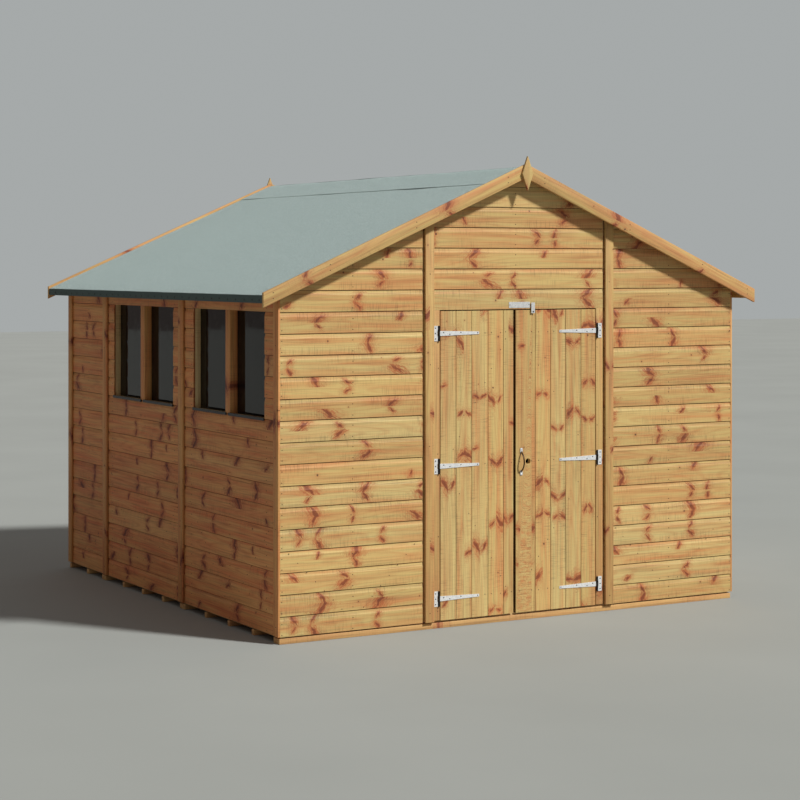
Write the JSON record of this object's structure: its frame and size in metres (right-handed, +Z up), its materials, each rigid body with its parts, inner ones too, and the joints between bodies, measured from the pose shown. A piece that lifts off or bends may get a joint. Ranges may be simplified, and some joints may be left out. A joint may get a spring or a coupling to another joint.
{
  "type": "wooden garden shed",
  "caption": "Timber garden shed with boarded walls, a felted ridge roof, hinged double doors in the front gable and two window pairs in the left wall.",
  "frame": {"origin": "centre of the base on the ground", "axes": "+X runs right along the front wall, +Y runs from the doors to the back wall, +Z is up"},
  "size_m": [3.212, 3.242, 2.5629],
  "materials": {
    "board_timber": "dip-treated golden brown softwood boards",
    "trim_timber": "planed golden softwood",
    "framing_timber": "rounded softwood framing",
    "deck_boards": "tongued softwood boards",
    "bearer_timber": "treated softwood",
    "roof_felt": "mineral surfaced green-grey felt",
    "window_glass": "clear glazing",
    "black_plastic": "black drip strip",
    "zinc_steel": "bright zinc plated steel",
    "black_iron": "black japanned"
  },
  "bodies": {
    "root": {"floor_bearers": "bearer_timber", "floor_panels": "deck_boards", "front_left_cladding": "board_timber", "front_right_cladding": "board_timber", "front_gable_cladding": "board_timber", "door_posts": "trim_timber", "front_wall_frame": "framing_timber", "gable_cover_strips": "trim_timber", "back_left_cladding": "board_timber", "back_centre_cladding": "board_timber", "back_right_cladding": "board_timber", "back_wall_frame": "framing_timber", "left_lower_cladding": "board_timber", "left_upper_cladding": "board_timber", "left_window_sides": "board_timber", "left_rear_cladding": "board_timber", "left_wall_frame": "framing_timber", "window_mullions": "trim_timber", "window_glass": "window_glass", "window_drips": "black_plastic", "side_cover_strips": "trim_timber", "right_front_cladding": "board_timber", "right_middle_cladding": "board_timber", "right_rear_cladding": "board_timber", "right_wall_frame": "framing_timber", "roof_deck_left": "deck_boards", "roof_deck_right": "deck_boards", "roof_felt_left": "roof_felt", "roof_felt_right": "roof_felt", "ridge_felt": "roof_felt", "eaves_battens": "trim_timber", "roof_purlins": "framing_timber", "left_bargeboards": "trim_timber", "right_bargeboards": "trim_timber", "finials": "trim_timber", "hinge_leaves": "zinc_steel", "blank_plate": "zinc_steel"},
    "left_door": {"left_door_boards": "board_timber", "left_door_ledges": "framing_timber", "left_hinge_straps": "zinc_steel"},
    "right_door": {"right_door_boards": "board_timber", "right_door_ledges": "framing_timber", "right_hinge_straps": "zinc_steel", "door_handle": "black_iron"},
    "turn_button": {"turn_button": "zinc_steel"}
  },
  "joints": [
    {"name": "left_door_hinge", "type": "hinge", "parent": "root", "child": "left_door", "pos_m": [-0.524, -1.5454, 0.876], "axis": [0, 0, -1], "range_deg": [0, 135]},
    {"name": "right_door_hinge", "type": "hinge", "parent": "root", "child": "right_door", "pos_m": [0.517, -1.5454, 0.876], "axis": [0, 0, 1], "range_deg": [0, 135]},
    {"name": "turn_button_pivot", "type": "hinge", "parent": "right_door", "child": "turn_button", "pos_m": [0.081, -1.545, 1.705], "axis": [0, 1, 0], "range_deg": [0, 90]}
  ]
}
